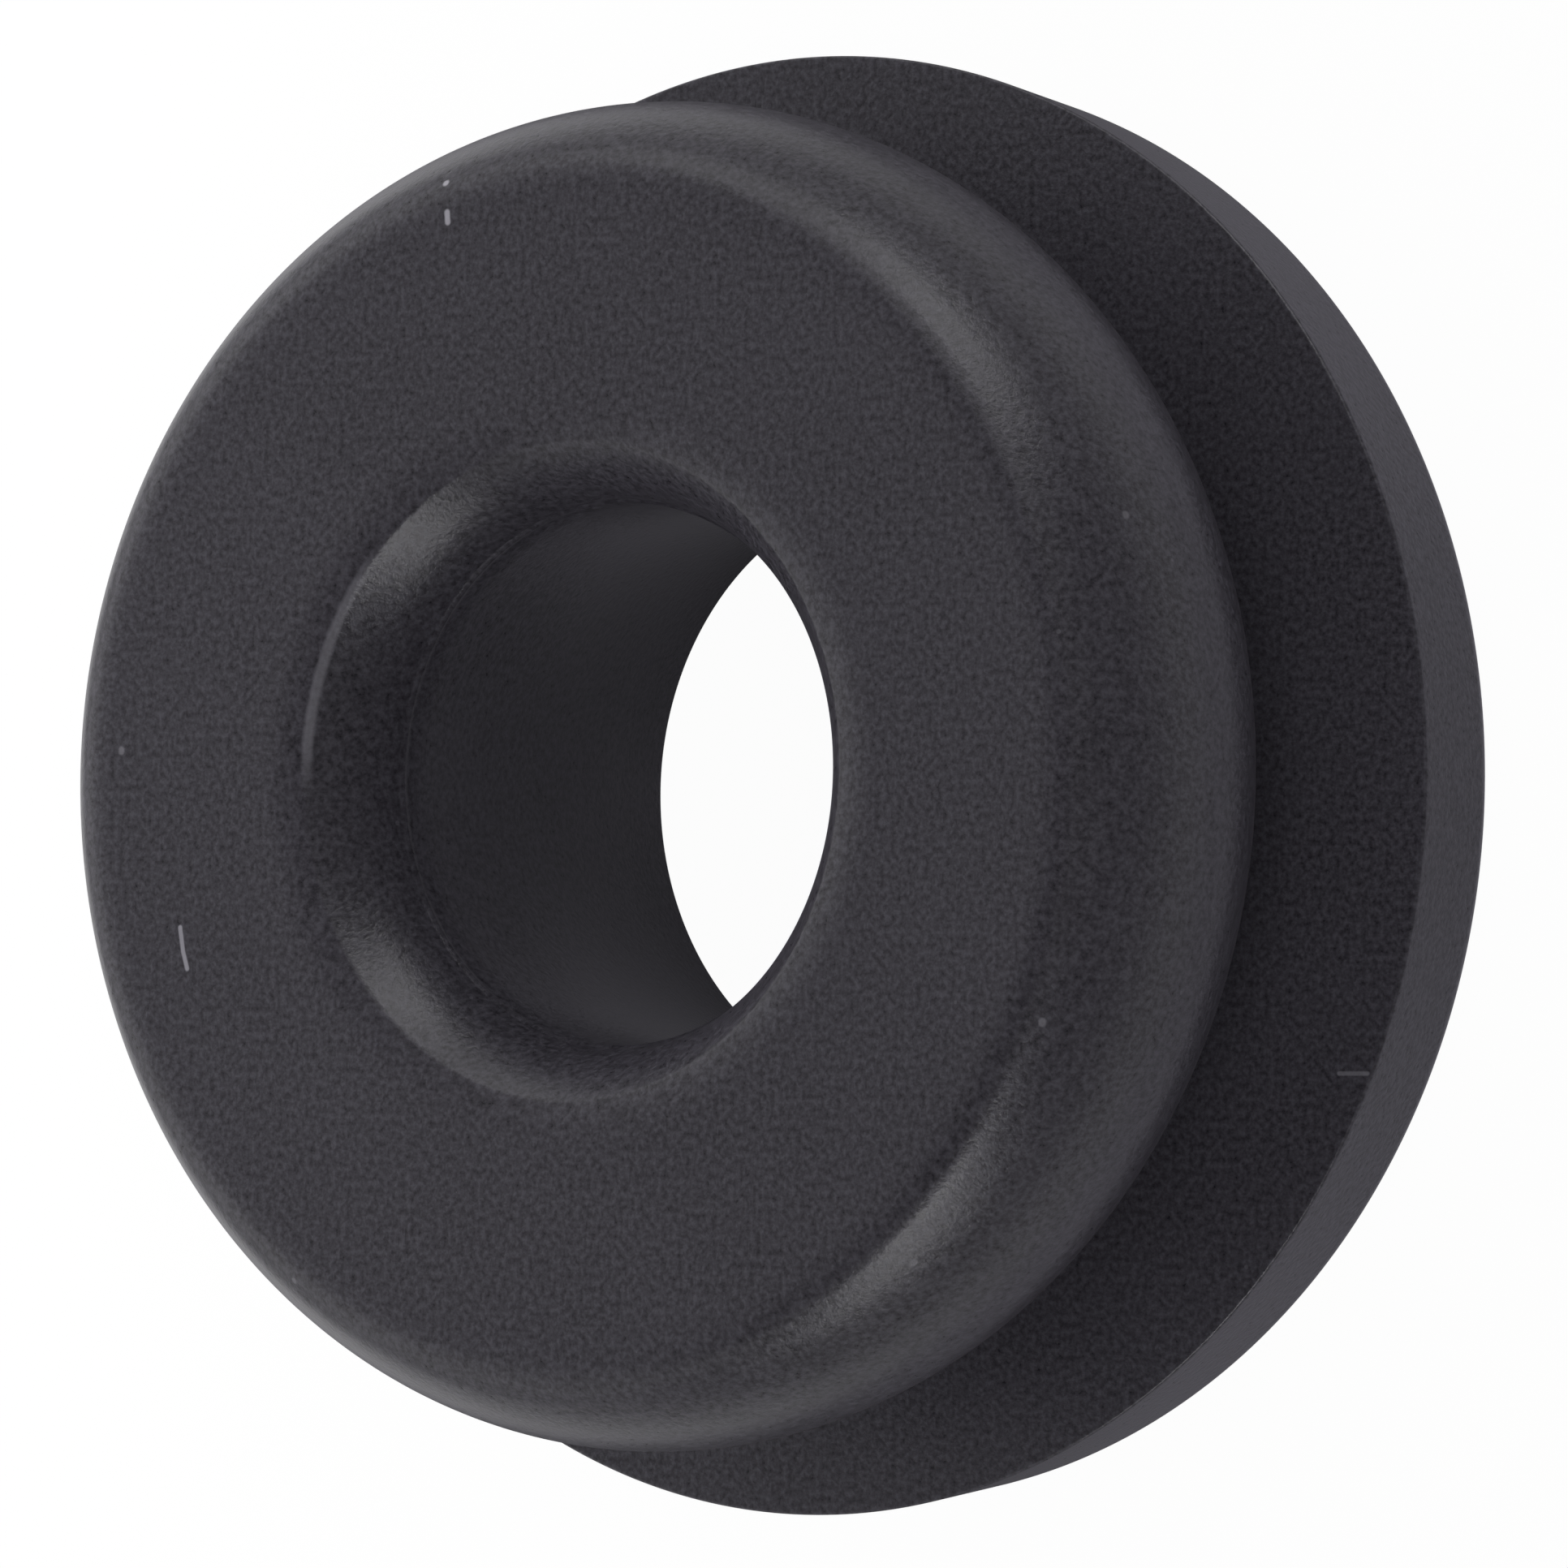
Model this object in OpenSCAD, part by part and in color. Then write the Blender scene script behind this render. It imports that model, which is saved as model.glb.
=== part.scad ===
// Grooved rubber washer: one moulded ring with a wide rear flange, a groove that the
// edge of a panel sits in, and a rounded front bead. The bore takes the collar of a
// bolt. It lies on its rear face, and its axis is the Z axis.

/* [Rear flange] */
// Diameter of the rear flange at its sharp front edge
flange_d = 22; // [20.5:0.1:30]
// Thickness of the rear flange
flange_t = 2.3; // [1.5:0.1:4]
// How much smaller the rim's radius is at the rear face than at its front edge
flange_draft = 0.3; // [0.05:0.05:0.6]
// Radius of the rounded rear edge of the rim
flange_edge_r = 0.5; // [0.2:0.05:0.8]

/* [Groove] */
// Diameter of the neck at the bottom of the groove
neck_d = 14; // [12:0.1:15.5]
// Width of the groove between the flange and the bead
groove_w = 1.5; // [1:0.1:3]
// Radius of the two corners at the bottom of the groove
groove_corner_r = 0.3; // [0.1:0.05:0.45]

/* [Front bead] */
// Largest diameter of the bead
bead_d = 20.1; // [19:0.1:24]
// Height of the bead, from the groove to the front face
bead_h = 4.9; // [4:0.1:6]
// Height of the widest place of the bead above the groove
bead_widest_h = 2.55; // [1.8:0.05:3.2]
// Diameter of the bead where its side meets the front face, before that edge is rounded
bead_front_d = 18; // [16:0.1:18.6]
// Diameter of the bead where its side meets the groove, before that edge is rounded
bead_rear_d = 17.6; // [16.4:0.1:18.6]
// Radius of the front edge of the bead
bead_front_edge_r = 0.9; // [0.3:0.05:1]
// Radius of the rear edge of the bead, at the groove
bead_rear_edge_r = 0.3; // [0.1:0.05:0.6]

/* [Bore] */
// Diameter of the straight stretch of the bore
bore_d = 8; // [6:0.1:9]
// Radius of the rounded front mouth of the bore
mouth_r = 1.6; // [0.5:0.1:2]
// Diameter that the bore opens out to at the rear face
bore_rear_d = 9.1; // [9.05:0.05:11]
// Height of the rear stretch in which the bore opens out
bore_flare_h = 3.6; // [1.5:0.1:4.5]

/* [Hidden] */
$fn = 144;

flange_r = flange_d / 2;
neck_r = neck_d / 2;
bead_r = bead_d / 2;
bore_r = bore_d / 2;

// Heights of the faces that cross the axis, counted from the rear face
bead_z = flange_t + groove_w;
widest_z = bead_z + bead_widest_h;
front_z = bead_z + bead_h;

// The section is drawn with the radius as X and the height as Y. A direction in it is
// an angle from the axis: 0 is to the front, 90 outwards, 180 to the rear, 270 inwards
TO_FRONT = 0;
OUTWARDS = 90;
TO_REAR = 180;
INWARDS = 270;
FULL_TURN = 360;
function towards(angle) = [sin(angle), cos(angle)];

// Each edge is a quarter of a small disc that touches the side from inside. It stands
// proud of the side by this hair, so that the two cross and leave no sliver
EDGE_LAP = [0.0003, 0];

// The rim slopes in towards the rear face, and its rear edge is a small arc
function rim_side(height) = [flange_r - flange_draft * (1 - height / flange_t), height];
rim_slope = atan(flange_draft / flange_t);
rim_arc = rim_side(0) + EDGE_LAP
    + flange_edge_r * [tan(rim_slope) - 1 / cos(rim_slope), 1];

// The side of the bead is two arcs that meet at its widest place. Each passes through
// a point that lies fall further in and height further along the axis
function side_r(fall, height) = (pow(height, 2) + pow(fall, 2)) / (2 * fall);
front_side_r = side_r((bead_d - bead_front_d) / 2, bead_h - bead_widest_h);
rear_side_r = side_r((bead_d - bead_rear_d) / 2, bead_widest_h);
front_side_arc = [bead_r - front_side_r, widest_z];
rear_side_arc = [bead_r - rear_side_r, widest_z];

// The directions and points in which the side ends at the front and the rear edge
function edge_angle(side, edge, height) = acos((height - edge) / (side - edge));
front_edge_angle = edge_angle(front_side_r, bead_front_edge_r, bead_h - bead_widest_h);
rear_edge_angle = TO_REAR - edge_angle(rear_side_r, bead_rear_edge_r, bead_widest_h);
front_side_end = front_side_arc + front_side_r * towards(front_edge_angle);
rear_side_end = rear_side_arc + rear_side_r * towards(rear_edge_angle);
front_edge_arc = front_side_arc + EDGE_LAP
    + (front_side_r - bead_front_edge_r) * towards(front_edge_angle);
rear_edge_arc = rear_side_arc + EDGE_LAP
    + (rear_side_r - bead_rear_edge_r) * towards(rear_edge_angle);

// The mouth of the bore is an arc that touches the front face and the bore
mouth_arc = [bore_r + mouth_r, front_z - mouth_r];

// Part of a disc about a centre, between two directions
module sector(centre, radius, from, to) {
    reach = radius * sqrt(2);
    middle = (from + to) / 2;
    intersection() {
        translate(centre) circle(r = radius);
        polygon([
            centre,
            centre + reach * towards(from),
            centre + reach * towards(middle),
            centre + reach * towards(to)
        ]);
    }
}

// Part of the bead outside the neck, between two heights, that ends at the arc of its
// side
module side_slab(centre, radius, low, high) {
    intersection() {
        translate(centre) circle(r = radius);
        translate([neck_r + groove_corner_r, low]) square([bead_r, high - low]);
    }
}

// The section with each arc cut straight across, from its one end to its other
module core_section() {
    polygon([
        [bore_rear_d / 2, 0],
        rim_arc + flange_edge_r * towards(TO_REAR),
        rim_side(flange_edge_r * (1 - sin(rim_slope))),
        [flange_r, flange_t],
        [neck_r + groove_corner_r, flange_t],
        [neck_r + groove_corner_r, bead_z],
        rear_edge_arc + bead_rear_edge_r * towards(TO_REAR),
        rear_side_end,
        [bead_r, widest_z],
        front_side_end,
        front_edge_arc + bead_front_edge_r * towards(TO_FRONT),
        mouth_arc + mouth_r * towards(TO_FRONT),
        mouth_arc + mouth_r * towards(INWARDS),
        [bore_r, bore_flare_h]
    ]);
}

// What the bottom of the groove takes out of the core, with its two rounded corners
module groove_bottom_section() {
    low_arc = [neck_r + groove_corner_r, flange_t + groove_corner_r];
    high_arc = [neck_r + groove_corner_r, bead_z - groove_corner_r];
    polygon([
        low_arc + groove_corner_r * towards(TO_REAR),
        low_arc + groove_corner_r * towards(INWARDS),
        high_arc + groove_corner_r * towards(INWARDS),
        high_arc + groove_corner_r * towards(TO_FRONT)
    ]);
    sector(low_arc, groove_corner_r, TO_REAR, INWARDS);
    sector(high_arc, groove_corner_r, INWARDS, FULL_TURN);
}

// The whole section of the ring on one side of the axis
module section() {
    difference() {
        union() {
            core_section();
            sector(rim_arc, flange_edge_r, OUTWARDS, TO_REAR);
            sector(rear_edge_arc, bead_rear_edge_r, OUTWARDS, TO_REAR);
            side_slab(rear_side_arc, rear_side_r, rear_side_end[1], widest_z);
            side_slab(front_side_arc, front_side_r, widest_z, front_side_end[1]);
            sector(front_edge_arc, bead_front_edge_r, TO_FRONT, OUTWARDS);
            sector(mouth_arc, mouth_r, INWARDS, FULL_TURN);
        }
        groove_bottom_section();
    }
}

module washer() {
    color("#3b3a3d") rotate_extrude() section();
}

washer();
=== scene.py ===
import math

import bmesh
import bpy
from mathutils import Matrix, Vector


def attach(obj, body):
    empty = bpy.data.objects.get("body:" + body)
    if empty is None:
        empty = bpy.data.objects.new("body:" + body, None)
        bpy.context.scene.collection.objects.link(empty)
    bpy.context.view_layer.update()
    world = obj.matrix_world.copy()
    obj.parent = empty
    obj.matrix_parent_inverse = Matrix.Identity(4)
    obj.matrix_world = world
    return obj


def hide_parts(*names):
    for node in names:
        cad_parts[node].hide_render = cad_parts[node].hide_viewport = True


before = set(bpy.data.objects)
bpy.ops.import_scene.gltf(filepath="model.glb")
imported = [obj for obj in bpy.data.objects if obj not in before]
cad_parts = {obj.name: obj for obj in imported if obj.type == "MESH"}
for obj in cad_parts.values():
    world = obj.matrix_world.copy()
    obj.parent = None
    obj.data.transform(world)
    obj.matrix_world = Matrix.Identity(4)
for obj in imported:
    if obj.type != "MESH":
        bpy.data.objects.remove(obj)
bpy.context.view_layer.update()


# --- Washer -------------------------------------------------------------------------
# One ring of black natural rubber, compression moulded in a two-part mould and pulled
# out of it while it was hot. The section is a wide rear flange, a groove for the edge
# of a panel, and a bulging front bead round a bore with a soft, rounded mouth.

# Lengths are in millimetres, and the scene's unit is the metre. Angles are in degrees
MM = 0.001
FLANGE_R = 10.994
FLANGE_T = 2.3
RIM_DRAFT = 0.3
RIM_EDGE_R = 0.5
SHARP_R = 0.04

NECK_R = 7.0
GROOVE_TOP = 3.8
GROOVE_CORNER_R = 0.3

BEAD_R = 10.05
BEAD_WIDEST_Z = 6.35
FRONT_Z = 8.7
FRONT_SIDE_R = 3.155
REAR_SIDE_R = 3.226
REAR_EDGE_R = 0.3

# The front edge eases off the face, then turns in a tight arc and a slack one. An arc
# is its radius and the direction in which it ends
EDGE_START_R = 8.504
EDGE_EASE = (2.5, 6)
EDGE_TIGHT = (0.729, 38)
EDGE_SLACK = (1.413, 52)

# The mouth dips gently from the face, turns over a small edge, and runs into the bore,
# which is straight and then widens over its rear stretch
BORE_R = 4.0
MOUTH_START_R = 5.55
MOUTH_DIP = (2.56, -14)
MOUTH_EDGE = (0.2, -40)
FLARE_R = 4.55
FLARE_H = 3.6
FLARE_BLEND = 2.0

# The two halves of the mould met at the inner end of the mouth and left a thin line
SEAM_Z = 7.28
SEAM_PROUD = 0.035
SEAM_WIDTH = 0.12
# The arc that carries it has closer points from this direction on
SEAM_FROM = -72

# Steps in the full turn, and the gap below which two points become one
TURN_STEPS = 360
SAME_PLACE = 0.001


def towards(angle):
    """A direction in the section: 0 to the front, 90 outwards, 180 to the rear."""
    return Vector((math.sin(math.radians(angle)), math.cos(math.radians(angle))))


def arc(centre, radius, start, end, step=5.0):
    """Points on an arc from one direction to another, about a step of degrees apart."""
    count = max(2, round(abs(end - start) / step))
    angles = [start + (end - start) * i / count for i in range(count + 1)]
    return [Vector(centre) + radius * towards(a) for a in angles]


def straight(a, b, spacing=0.35, end_gap=0.05):
    """Points between the ends of a straight stretch. The outer two lie near the ends."""
    a, b = Vector(a), Vector(b)
    length = (b - a).length
    near = min(end_gap, length / 4)
    count = max(1, round((length - 2 * near) / spacing))
    shares = [near + (length - 2 * near) * i / count for i in range(count + 1)]
    return [a.lerp(b, s / length) for s in shares]


def seam_bulge(point):
    """A point of the throat, moved towards the axis where the thin line stands proud."""
    t = min(1.0, abs(point.y - SEAM_Z) / SEAM_WIDTH * 2)
    return point - Vector(((0.5 + 0.5 * math.cos(math.pi * t)) * SEAM_PROUD, 0))


# The rim slopes in towards the rear face
rim_slope = math.atan(RIM_DRAFT / FLANGE_T)
rim_angle = 90 + math.degrees(rim_slope)
rim_edge = Vector((
    FLANGE_R - RIM_DRAFT + RIM_EDGE_R * (math.tan(rim_slope) - 1 / math.cos(rim_slope)),
    RIM_EDGE_R,
))
rim_corner = Vector((FLANGE_R - SHARP_R, FLANGE_T - SHARP_R))
flare_corner = Vector((FLARE_R + SHARP_R, SHARP_R))
groove_low = Vector((NECK_R + GROOVE_CORNER_R, FLANGE_T + GROOVE_CORNER_R))
groove_high = Vector((NECK_R + GROOVE_CORNER_R, GROOVE_TOP - GROOVE_CORNER_R))

# Each arc of the bead touches the next one, so their centres lie on one line with the
# point where they meet
front_side = Vector((BEAD_R - FRONT_SIDE_R, BEAD_WIDEST_Z))
rear_side = Vector((BEAD_R - REAR_SIDE_R, BEAD_WIDEST_Z))
rear_cosine = (BEAD_WIDEST_Z - GROOVE_TOP - REAR_EDGE_R) / (REAR_SIDE_R - REAR_EDGE_R)
rear_angle = 180 - math.degrees(math.acos(rear_cosine))
rear_edge = rear_side + (REAR_SIDE_R - REAR_EDGE_R) * towards(rear_angle)
ease = Vector((EDGE_START_R, FRONT_Z - EDGE_EASE[0]))
tight = ease + (EDGE_EASE[0] - EDGE_TIGHT[0]) * towards(EDGE_EASE[1])
slack = tight + (EDGE_TIGHT[0] - EDGE_SLACK[0]) * towards(EDGE_TIGHT[1])

dip = Vector((MOUTH_START_R, FRONT_Z - MOUTH_DIP[0]))
lip = dip + (MOUTH_DIP[0] - MOUTH_EDGE[0]) * towards(MOUTH_DIP[1])
lip_end = lip + MOUTH_EDGE[0] * towards(MOUTH_EDGE[1])
throat_r = (lip_end.x - BORE_R) / (1 + math.sin(math.radians(MOUTH_EDGE[1])))
throat = lip_end - throat_r * towards(MOUTH_EDGE[1])

# The bore widens towards the rear in one long, slack arc
flare_angle = math.degrees(math.atan((FLARE_R - BORE_R) / FLARE_H))
flare_arc_r = FLARE_BLEND / math.tan(math.radians(flare_angle / 2))
flare_arc = Vector((BORE_R + flare_arc_r, FLARE_H + FLARE_BLEND))
flare_start = flare_arc - Vector((flare_arc_r, 0))

# From the bore's rear corner over the rear face and the rim, up to the flange's front
section = arc(flare_corner, SHARP_R, 270, 180, step=30)
section += straight((flare_corner.x, 0), (rim_edge.x, 0))
section += arc(rim_edge, RIM_EDGE_R, 180, rim_angle)
section += straight(section[-1], rim_corner + SHARP_R * towards(rim_angle))
section += arc(rim_corner, SHARP_R, rim_angle, 0, step=20)
# The front of the flange and the groove
section += straight(section[-1], (groove_low.x, FLANGE_T))
section += arc(groove_low, GROOVE_CORNER_R, 180, 270, step=15)
section += arc(groove_high, GROOVE_CORNER_R, 270, 360, step=15)
section += straight(section[-1], rear_edge + REAR_EDGE_R * towards(180))
# The bead, out to its widest place and back to its front face
section += arc(rear_edge, REAR_EDGE_R, 180, rear_angle)
section += arc(rear_side, REAR_SIDE_R, rear_angle, 90, step=2)
section += arc(front_side, FRONT_SIDE_R, 90, EDGE_SLACK[1], step=2)
section += arc(slack, EDGE_SLACK[0], EDGE_SLACK[1], EDGE_TIGHT[1], step=2)
section += arc(tight, EDGE_TIGHT[0], EDGE_TIGHT[1], EDGE_EASE[1], step=3)
section += arc(ease, EDGE_EASE[0], EDGE_EASE[1], 0, step=1.5)
section += straight(section[-1], (MOUTH_START_R, FRONT_Z))
# The mouth with the thin line that the mould left, and the bore
section += arc(dip, MOUTH_DIP[0], 0, MOUTH_DIP[1], step=2)
section += arc(lip, MOUTH_EDGE[0], MOUTH_DIP[1], MOUTH_EDGE[1])
section += arc(throat, throat_r, MOUTH_EDGE[1], SEAM_FROM, step=2)
section += [seam_bulge(point) for point in arc(throat, throat_r, SEAM_FROM, -90, step=1)]
section += straight(section[-1], flare_start)
section += arc(flare_arc, flare_arc_r, -90, -90 - flare_angle, step=0.5)
section += straight(section[-1], section[0])

# The section is turned about the axis of the bore
mesh = bmesh.new()
verts = [mesh.verts.new((p.x * MM, 0, p.y * MM)) for p in section]
for i in range(len(verts)):
    mesh.edges.new((verts[i - 1], verts[i]))
bmesh.ops.remove_doubles(mesh, verts=mesh.verts, dist=SAME_PLACE * MM)
bmesh.ops.spin(
    mesh, geom=mesh.verts[:] + mesh.edges[:], cent=(0, 0, 0), axis=(0, 0, 1),
    angle=math.tau, steps=TURN_STEPS, use_merge=True,
)
bmesh.ops.remove_doubles(mesh, verts=mesh.verts, dist=SAME_PLACE * MM)
bmesh.ops.recalc_face_normals(mesh, faces=mesh.faces)
for face in mesh.faces:
    face.smooth = True
data = bpy.data.meshes.new("washer_rubber")
mesh.to_mesh(data)
mesh.free()
rubber_ring = bpy.data.objects.new("washer_rubber", data)
bpy.context.scene.collection.objects.link(rubber_ring)


def linear(hex_colour):
    """An sRGB hex colour as linear RGB with an alpha of 1."""
    values = [int(hex_colour[i:i + 2], 16) / 255 for i in (1, 3, 5)]
    return [v / 12.92 if v <= 0.04045 else ((v + 0.055) / 1.055) ** 2.4 for v in values] + [1]


def add_node(tree, kind, settings=(), links=()):
    """Adds a node. A setting is an input's value, by name or number, or an attribute."""
    # Inputs of Math and Mix nodes go by number, because several have the same name
    node = tree.nodes.new(kind)
    for name, value in dict(settings).items():
        if isinstance(name, int) or name in node.inputs:
            node.inputs[name].default_value = value
        else:
            setattr(node, name, value)
    for name, source in dict(links).items():
        tree.links.new(source, node.inputs[name])
    return node


# Natural rubber filled with carbon black, from a mould with a blasted face: dark
# charcoal, nearly matt, with soft highlights on the turned edges. The blasting leaves a
# grain about 0.1 mm wide, over a slight mottling about 2.5 mm wide.
RUBBER_DARK = "#29272c"
RUBBER_LIGHT = "#46444b"
RUBBER_IOR = 1.5
SPECULAR = 0.2
ROUGH = (0.21, 0.41)
GRAIN = 0.1
GRAIN_HEIGHT = 0.02
GRAIN_BUMP = 0.5
CLOUD = 2.5
GRAIN_SHARE = 0.92
MOTTLE = (0.35, 0.65)

# Scuffs and dust are lighter, and the same light colour paints a highlight on the lip of the
# mouth
MARK_AND_HIGHLIGHT = "#97959d"

# Scuffs and specks of light dust: the two ends, half the width and how strong
MARKS = [
    ((-7.117, -2.347, 8.7), (-7.055, -2.701, 8.7), 0.035, 0.75),
    ((-7.055, -2.701, 8.7), (-6.972, -2.96, 8.7), 0.035, 0.75),
    ((-2.382, 8.308, 8.7), (-2.365, 8.166, 8.7), 0.045, 1.0),
    ((-2.525, 8.761, 8.56), (-2.515, 8.761, 8.56), 0.05, 1.0),
    ((9.549, -4.262, 2.3), (10.055, -4.258, 2.3), 0.03, 0.3),
    ((-2.32, -4.274, 8.52), (-2.3, -4.274, 8.52), 0.04, 0.25),
    ((9.1, 3.75, 7.46), (9.1, 3.78, 7.46), 0.05, 0.25),
    ((8.48, -3.66, 8.46), (8.48, -3.63, 8.46), 0.05, 0.3),
    ((-8.294, 0.3, 8.7), (-8.294, 0.32, 8.7), 0.05, 0.3),
    ((-4.95, -7.616, 8.6), (-4.94, -7.616, 8.6), 0.05, 0.25),
    ((6.11, -7.17, 8.24), (6.13, -7.16, 8.24), 0.05, 0.25),
]
# A mark starts to fade, and is gone, at these shares of half its width
MARK_FADE = (0.6, 1.5)

# A highlight is painted on one side of the small edge of the mouth, where its lip catches the
# light. The edge is a ring with this radius and height, and the painted line on it fades across,
# and along from its middle
LIP_HIGHLIGHT_RING = (4.88, 8.6)
LIP_HIGHLIGHT_ACROSS = (0.032, 0.12)
LIP_HIGHLIGHT_MIDDLE = (-4.6, 1.6, 8.6)
LIP_HIGHLIGHT_ALONG = (1.0, 2.2)
LIP_HIGHLIGHT_STRENGTH = 0.3

# Sparse dust, with one speck at most in each cell of this size. Its radius, in cells,
# is a random share of the most less a fixed part, so that about half of them have none
DUST_CELL = 0.8
DUST_MOST = 0.11
DUST_LESS = 0.06
DUST_STRENGTH = 0.1

material = bpy.data.materials.new("moulded_rubber")
material.use_nodes = True
tree = material.node_tree
tree.nodes.clear()
place = add_node(tree, "ShaderNodeTexCoord").outputs["Object"]


def streak(start, end, half_width, strength):
    """How much a mark covers each place, from the distance to the mark's middle line."""
    along = (Vector(end) - Vector(start)) * MM
    from_start = add_node(
        tree, "ShaderNodeVectorMath", {"operation": "SUBTRACT", 1: Vector(start) * MM}, {0: place}
    )
    share = add_node(
        tree, "ShaderNodeVectorMath",
        {"operation": "DOT_PRODUCT", 1: along / along.length_squared},
        {0: from_start.outputs["Vector"]},
    )
    held = add_node(tree, "ShaderNodeClamp", {}, {"Value": share.outputs["Value"]})
    foot = add_node(
        tree, "ShaderNodeVectorMath", {"operation": "SCALE", 0: along},
        {"Scale": held.outputs["Result"]},
    )
    gap = add_node(
        tree, "ShaderNodeVectorMath", {"operation": "DISTANCE"},
        {0: from_start.outputs["Vector"], 1: foot.outputs["Vector"]},
    )
    cover = add_node(
        tree, "ShaderNodeMapRange",
        {"interpolation_type": "SMOOTHSTEP", "From Min": half_width * MARK_FADE[0] * MM,
         "From Max": half_width * MARK_FADE[1] * MM, "To Min": strength, "To Max": 0.0},
        {"Value": gap.outputs["Value"]},
    )
    return cover.outputs["Result"]


# Grain and a slight mottling share the colour and the roughness
grain = add_node(
    tree, "ShaderNodeTexNoise",
    {"Scale": 1 / (GRAIN * MM), "Detail": 3.0, "Roughness": 0.65}, {"Vector": place},
)
cloud = add_node(
    tree, "ShaderNodeTexNoise", {"Scale": 1 / (CLOUD * MM), "Detail": 4.0}, {"Vector": place}
)
mottle = add_node(
    tree, "ShaderNodeMix", {"data_type": "FLOAT", 0: GRAIN_SHARE},
    {2: cloud.outputs["Fac"], 3: grain.outputs["Fac"]},
)
spread = add_node(
    tree, "ShaderNodeMapRange", {"From Min": MOTTLE[0], "From Max": MOTTLE[1]},
    {"Value": mottle.outputs[0]},
)
colour = add_node(
    tree, "ShaderNodeMix",
    {"data_type": "RGBA", 6: linear(RUBBER_DARK), 7: linear(RUBBER_LIGHT)},
    {0: spread.outputs["Result"]},
)

# The painted highlight is a thin ring on the edge of the mouth, kept to the side of it that
# catches the light
flat = add_node(
    tree, "ShaderNodeVectorMath", {"operation": "MULTIPLY", 1: (1, 1, 0)}, {0: place}
)
radius = add_node(
    tree, "ShaderNodeVectorMath", {"operation": "LENGTH"}, {0: flat.outputs["Vector"]}
)
height = add_node(tree, "ShaderNodeSeparateXYZ", {}, {0: place})
spot = add_node(
    tree, "ShaderNodeCombineXYZ", {}, {"X": radius.outputs["Value"], "Y": height.outputs["Z"]}
)
ring_gap = add_node(
    tree, "ShaderNodeVectorMath",
    {"operation": "DISTANCE", 1: (LIP_HIGHLIGHT_RING[0] * MM, LIP_HIGHLIGHT_RING[1] * MM, 0)},
    {0: spot.outputs["Vector"]},
)
on_ring = add_node(
    tree, "ShaderNodeMapRange",
    {"interpolation_type": "SMOOTHSTEP", "From Min": LIP_HIGHLIGHT_ACROSS[0] * MM,
     "From Max": LIP_HIGHLIGHT_ACROSS[1] * MM, "To Min": LIP_HIGHLIGHT_STRENGTH, "To Max": 0.0},
    {"Value": ring_gap.outputs["Value"]},
)
side_gap = add_node(
    tree, "ShaderNodeVectorMath", {"operation": "DISTANCE", 1: Vector(LIP_HIGHLIGHT_MIDDLE) * MM},
    {0: place},
)
on_side = add_node(
    tree, "ShaderNodeMapRange",
    {"interpolation_type": "SMOOTHSTEP", "From Min": LIP_HIGHLIGHT_ALONG[0] * MM,
     "From Max": LIP_HIGHLIGHT_ALONG[1] * MM, "To Min": 1.0, "To Max": 0.0},
    {"Value": side_gap.outputs["Value"]},
)
marks_and_highlight = add_node(
    tree, "ShaderNodeMath", {"operation": "MULTIPLY"},
    {0: on_ring.outputs["Result"], 1: on_side.outputs["Result"]},
)
for mark in MARKS:
    marks_and_highlight = add_node(
        tree, "ShaderNodeMath", {"operation": "MAXIMUM"}, {0: marks_and_highlight.outputs[0], 1: streak(*mark)}
    )

dust = add_node(
    tree, "ShaderNodeTexVoronoi", {"Scale": 1 / (DUST_CELL * MM)}, {"Vector": place}
)
luck = add_node(
    tree, "ShaderNodeVectorMath", {"operation": "DOT_PRODUCT", 1: (DUST_MOST, 0, 0)},
    {0: dust.outputs["Color"]},
)
dust_r = add_node(
    tree, "ShaderNodeMath", {"operation": "SUBTRACT", 1: DUST_LESS}, {0: luck.outputs["Value"]}
)
speck = add_node(
    tree, "ShaderNodeMath", {"operation": "LESS_THAN"},
    {0: dust.outputs["Distance"], 1: dust_r.outputs[0]},
)
faint = add_node(
    tree, "ShaderNodeMath", {"operation": "MULTIPLY", 1: DUST_STRENGTH}, {0: speck.outputs[0]}
)
marks_and_highlight = add_node(
    tree, "ShaderNodeMath", {"operation": "MAXIMUM"}, {0: marks_and_highlight.outputs[0], 1: faint.outputs[0]}
)

# Scuffs, dust and the painted highlight on the lip lighten the colour
shade = add_node(
    tree, "ShaderNodeMix", {"data_type": "RGBA", 7: linear(MARK_AND_HIGHLIGHT)},
    {0: marks_and_highlight.outputs[0], 6: colour.outputs[2]},
)
rough = add_node(
    tree, "ShaderNodeMapRange", {"To Min": ROUGH[0], "To Max": ROUGH[1]},
    {"Value": mottle.outputs[0]},
)
bump = add_node(
    tree, "ShaderNodeBump", {"Strength": GRAIN_BUMP, "Distance": GRAIN_HEIGHT * MM},
    {"Height": grain.outputs["Fac"]},
)
shader = add_node(
    tree, "ShaderNodeBsdfPrincipled", {"IOR": RUBBER_IOR, "Specular IOR Level": SPECULAR},
    {"Base Color": shade.outputs[2], "Roughness": rough.outputs["Result"],
     "Normal": bump.outputs["Normal"]},
)
add_node(tree, "ShaderNodeOutputMaterial", {}, {"Surface": shader.outputs["BSDF"]})
data.materials.append(material)

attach(rubber_ring, "root")
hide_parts("washer")


# --- Floor --------------------------------------------------------------------------
# A sheet of matt white card, which the washer lies on and which fills the view. The camera sees
# it almost white, with a little of the washer's shadow. The rubber mirrors a glow painted on it
# instead, with painted shade: dim under the washer and again far away.

# The size is in metres. The card lies this far below the washer's rear face, in
# millimetres, so that the two never share a plane
FLOOR_SIZE = 4.0
FLOOR_DROP = 0.02

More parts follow.
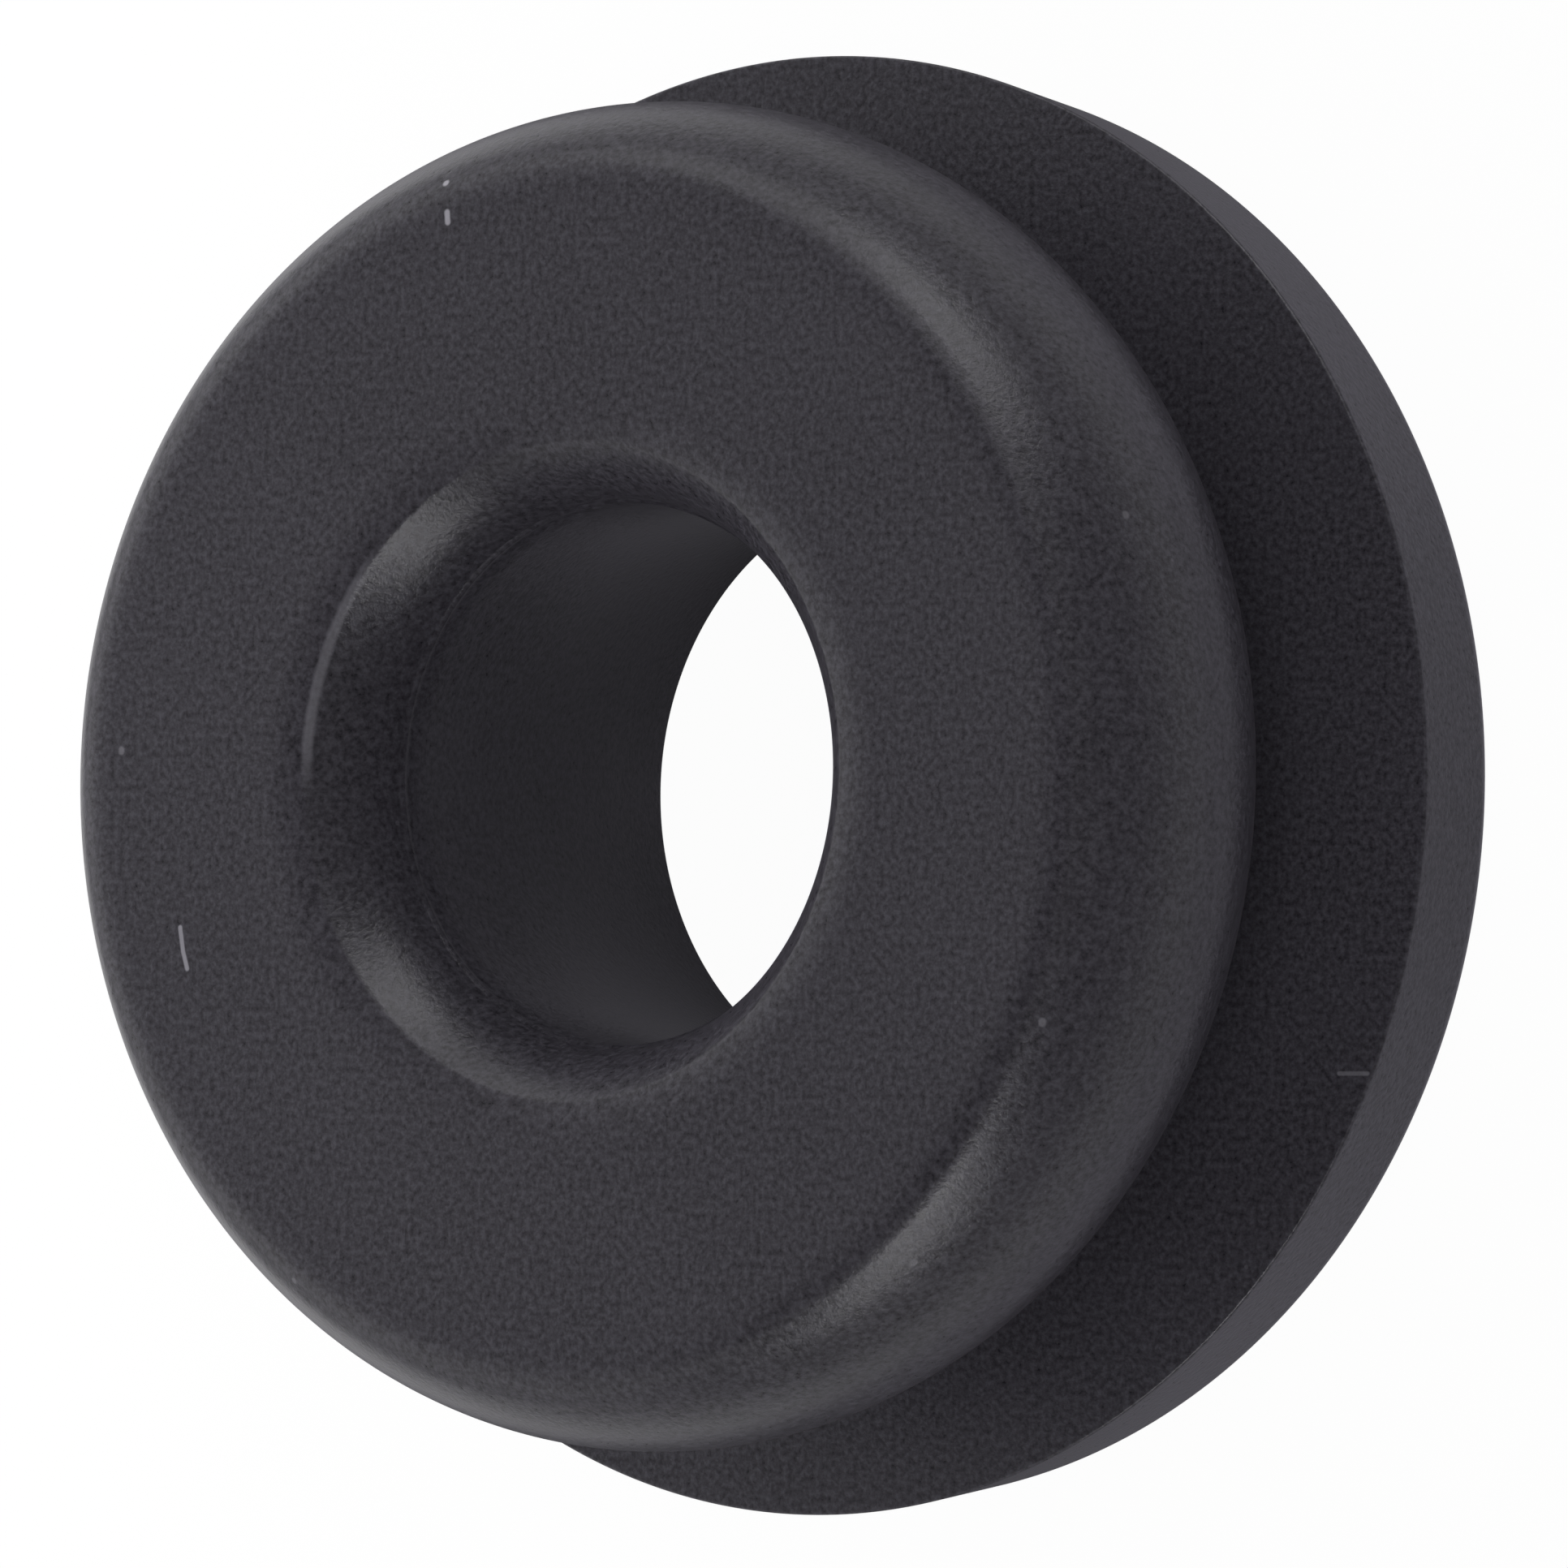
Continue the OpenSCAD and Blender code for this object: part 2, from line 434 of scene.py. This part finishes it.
# Its colour, the darker one painted inside the neck as shade under the washer, which dims the
# light it throws onto the walls of the bore, and how much of what the camera sees is plain white,
# where the rest is the lit card with the washer's shadow
CARD = "#f4f4f4"
CARD_SHADE_IN_BORE = "#c8c8c8"
CAMERA_SHARE = 0.97

# The painted glow that the rubber mirrors, with painted shade: how bright it is close to the
# washer, where X is 0 or less and where X is the bead's radius, then in the clear, and far away,
# with the radii where each turns into the next
SHADE_GLOW = (0.07, 0.5)
CLEAR_GLOW = 0.95
FAR_GLOW = 0.35
SHADE_R = (14.0, 20.0)
FAR_R = (20.0, 45.0)

# The same painted glow in the bore, at its -X and its +X side, and the share of it that is left
# at its two Y sides as painted shade. The painted reflection close to the washer is tinted a
# little cool
BORE_GLOW = (0.28, 0.56)
FLANK_SHARE = 0.25
COOL = "#f6f3ff"

bpy.ops.mesh.primitive_plane_add(size=FLOOR_SIZE, location=(0, 0, -FLOOR_DROP * MM))
floor = bpy.context.object
floor.name = "floor"
card = bpy.data.materials.new("white_card")
card.use_nodes = True
tree = card.node_tree
tree.nodes.clear()
rays = add_node(tree, "ShaderNodeLightPath")
mirrored = add_node(
    tree, "ShaderNodeMath", {"operation": "MAXIMUM"},
    {0: rays.outputs["Is Glossy Ray"], 1: rays.outputs["Is Transmission Ray"]},
)
place = add_node(tree, "ShaderNodeTexCoord").outputs["Object"]
away = add_node(tree, "ShaderNodeVectorMath", {"operation": "LENGTH"}, {0: place})
parts = add_node(tree, "ShaderNodeSeparateXYZ", {}, {0: place})

# How bright the painted reflection is outside the neck, with painted shade under the washer
under = add_node(
    tree, "ShaderNodeMapRange",
    {"From Max": BEAD_R * MM, "To Min": SHADE_GLOW[0], "To Max": SHADE_GLOW[1]},
    {"Value": parts.outputs["X"]},
)
clear = add_node(
    tree, "ShaderNodeMapRange",
    {"interpolation_type": "SMOOTHSTEP", "From Min": SHADE_R[0] * MM,
     "From Max": SHADE_R[1] * MM, "To Max": CLEAR_GLOW},
    {"Value": away.outputs["Value"], "To Min": under.outputs["Result"]},
)
far = add_node(
    tree, "ShaderNodeMapRange",
    {"interpolation_type": "SMOOTHSTEP", "From Min": FAR_R[0] * MM,
     "From Max": FAR_R[1] * MM, "To Min": 1.0, "To Max": FAR_GLOW},
    {"Value": away.outputs["Value"]},
)
around = add_node(
    tree, "ShaderNodeMath", {"operation": "MULTIPLY"},
    {0: clear.outputs["Result"], 1: far.outputs["Result"]},
)

# How bright the painted reflection is in the bore, with painted shade towards its Y sides
aside = add_node(tree, "ShaderNodeMath", {"operation": "ABSOLUTE"}, {0: parts.outputs["Y"]})
flanks = add_node(
    tree, "ShaderNodeMapRange", {"From Max": BORE_R * MM, "To Min": 1.0, "To Max": FLANK_SHARE},
    {"Value": aside.outputs[0]},
)
through = add_node(
    tree, "ShaderNodeMapRange",
    {"From Min": -BORE_R * MM, "From Max": BORE_R * MM, "To Min": BORE_GLOW[0],
     "To Max": BORE_GLOW[1]},
    {"Value": parts.outputs["X"]},
)
in_bore_glow = add_node(
    tree, "ShaderNodeMath", {"operation": "MULTIPLY"},
    {0: through.outputs["Result"], 1: flanks.outputs["Result"]},
)
in_bore = add_node(
    tree, "ShaderNodeMath", {"operation": "LESS_THAN", 1: NECK_R * MM},
    {0: away.outputs["Value"]},
)

# The card is painted darker inside the neck, as shade under the washer. The camera's rays see
# plain white, and mirrored rays the painted glow worked out above
card_tone = add_node(
    tree, "ShaderNodeMix", {"data_type": "RGBA", 6: linear(CARD), 7: linear(CARD_SHADE_IN_BORE)},
    {0: in_bore.outputs[0]},
)
matt = add_node(tree, "ShaderNodeBsdfDiffuse", {}, {"Color": card_tone.outputs[2]})
mirror_glow = add_node(
    tree, "ShaderNodeMix", {"data_type": "FLOAT"},
    {0: in_bore.outputs[0], 2: around.outputs[0], 3: in_bore_glow.outputs[0]},
)
strength = add_node(
    tree, "ShaderNodeMath", {"operation": "MULTIPLY_ADD"},
    {0: mirrored.outputs[0], 1: mirror_glow.outputs[0], 2: rays.outputs["Is Camera Ray"]},
)
outside = add_node(
    tree, "ShaderNodeMapRange",
    {"interpolation_type": "SMOOTHSTEP", "From Min": SHADE_R[0] * MM,
     "From Max": SHADE_R[1] * MM},
    {"Value": away.outputs["Value"]},
)
untinted = add_node(
    tree, "ShaderNodeMath", {"operation": "MAXIMUM"},
    {0: outside.outputs["Result"], 1: rays.outputs["Is Camera Ray"]},
)
tint = add_node(
    tree, "ShaderNodeMix", {"data_type": "RGBA", 6: linear(COOL), 7: linear("#ffffff")},
    {0: untinted.outputs[0]},
)
glow = add_node(
    tree, "ShaderNodeEmission", {}, {"Color": tint.outputs[2], "Strength": strength.outputs[0]}
)
glow_share = add_node(
    tree, "ShaderNodeMath", {"operation": "MULTIPLY_ADD", 1: CAMERA_SHARE},
    {0: rays.outputs["Is Camera Ray"], 2: mirrored.outputs[0]},
)
both = add_node(
    tree, "ShaderNodeMixShader", {},
    {0: glow_share.outputs[0], 1: matt.outputs["BSDF"], 2: glow.outputs["Emission"]},
)
add_node(tree, "ShaderNodeOutputMaterial", {}, {"Surface": both.outputs["Shader"]})
floor.data.materials.append(card)


# --- Light --------------------------------------------------------------------------
# A dim white studio with soft boxes on both sides and behind, and fill from the front.
# All but the largest serve either matt surfaces or glossy ones, so that the highlights
# are set apart from the plain light.

# The strength of the room's own light, and the place in millimetres that lamps face
WORLD = 0.04
AIM = (0, 0, 4.0)

# Whether a lamp lights matt surfaces, and whether it shows in glossy ones
MATT = (True, False)
GLOSS = (False, True)
BOTH = (True, True)

# Azimuth and elevation in degrees, then distance, width and height in metres, radiance
# and use. The azimuth counts from +X towards +Y, which is the side named left here
LAMPS = {
    "box_left": (90, 22, 1.0, 1.15, 0.72, 1.9, BOTH),
    "gloss_left": (135, 20, 1.0, 0.85, 0.76, 0.95, GLOSS),
    "matt_right": (-92, 28, 1.0, 0.62, 0.5, 3.0, MATT),
    "gloss_right": (-135, 20, 1.0, 0.85, 0.76, 0.95, GLOSS),
    "gloss_back": (180, 20, 1.0, 0.85, 0.76, 1.1, GLOSS),
    "gloss_high": (90, 54, 1.0, 0.6, 0.42, 2.2, GLOSS),
    "fill_high": (0, 59, 1.0, 1.2, 0.43, 1.72, MATT),
    "fill_low": (0, 30, 1.0, 0.9, 0.42, 1.05, MATT),
    "back": (180, 24, 0.07, 0.1, 0.03, 3.2, MATT),
    "back_high": (180, 54, 1.0, 1.2, 0.43, 0.5, GLOSS),
    "back_left": (150, 8, 0.06, 0.05, 0.015, 9.0, MATT),
    "back_right": (-150, 8, 0.06, 0.05, 0.015, 5.0, MATT),
    "strip_low_left": (71, 15, 0.3, 0.17, 0.03, 10.5, GLOSS),
    "strip_high_left": (75, 35, 0.3, 0.11, 0.06, 7.5, GLOSS),
    "strip_low_right": (-75, 14, 0.3, 0.16, 0.03, 16.0, GLOSS),
    "strip_high_right": (-74, 35, 0.3, 0.12, 0.06, 15.0, GLOSS),
}

world = bpy.data.worlds.new("studio")
bpy.context.scene.world = world
world.use_nodes = True
background = world.node_tree.nodes["Background"]
background.inputs["Color"].default_value = linear("#ffffff")
background.inputs["Strength"].default_value = WORLD

for name, (azimuth, elevation, distance, width, tall, radiance, use) in LAMPS.items():
    lamp = bpy.data.lights.new(name, "AREA")
    lamp.shape = "RECTANGLE"
    lamp.size, lamp.size_y = width, tall
    # An area lamp's watts are its radiance times its area times pi
    lamp.energy = radiance * width * tall * math.pi
    az, el = math.radians(azimuth), math.radians(elevation)
    aim = Vector((math.cos(az) * math.cos(el), math.sin(az) * math.cos(el), math.sin(el)))
    holder = bpy.data.objects.new(name, lamp)
    holder.rotation_mode = "QUATERNION"
    holder.rotation_quaternion = aim.to_track_quat("Z", "Y")
    holder.location = aim * distance + Vector(AIM) * MM
    holder.visible_camera = False
    holder.visible_diffuse, holder.visible_glossy = use
    bpy.context.scene.collection.objects.link(holder)


# --- Camera -------------------------------------------------------------------------
# A long lens, well above the floor and rolled so that the washer's axis lies to the
# left. The washer's place and size in the frame set the camera's place and its lens.

# How far the washer's axis is turned from the line of sight, to the left and upwards
YAW = math.radians(35.5321)
PITCH = math.radians(1.8069)

# The frame's width, the washer's origin in it, and the flange's radius there
FRAME_PX = 1932.0
CENTRE_PX = (1114.656, 972.728)
FLANGE_R_PX = 893.1235

# The distance in flange radii, the sensor in millimetres and the clipping in metres
DISTANCE = 25.0
SENSOR = 36.0
CLIP = (0.01, 10.0)

# The washer's axis and its X axis, as directions in the camera's view
axis = Vector((
    -math.sin(YAW) * math.cos(PITCH), math.sin(PITCH), math.cos(YAW) * math.cos(PITCH)
))
side = Vector((math.cos(YAW), 0, math.sin(YAW)))
turn = Matrix((side, axis.cross(side), axis)).to_4x4()
seat = Vector((
    (FRAME_PX / 2 - CENTRE_PX[0]) / FLANGE_R_PX,
    (CENTRE_PX[1] - FRAME_PX / 2) / FLANGE_R_PX,
    DISTANCE,
)) * FLANGE_R * MM
lens = bpy.data.cameras.new("camera")
lens.sensor_width = SENSOR
lens.lens = FLANGE_R_PX * DISTANCE / FRAME_PX * SENSOR
lens.clip_start, lens.clip_end = CLIP
camera = bpy.data.objects.new("camera", lens)
camera.matrix_world = turn @ Matrix.Translation(seat)
bpy.context.scene.collection.objects.link(camera)
bpy.context.scene.camera = camera

bpy.context.scene.view_settings.view_transform = "Standard"
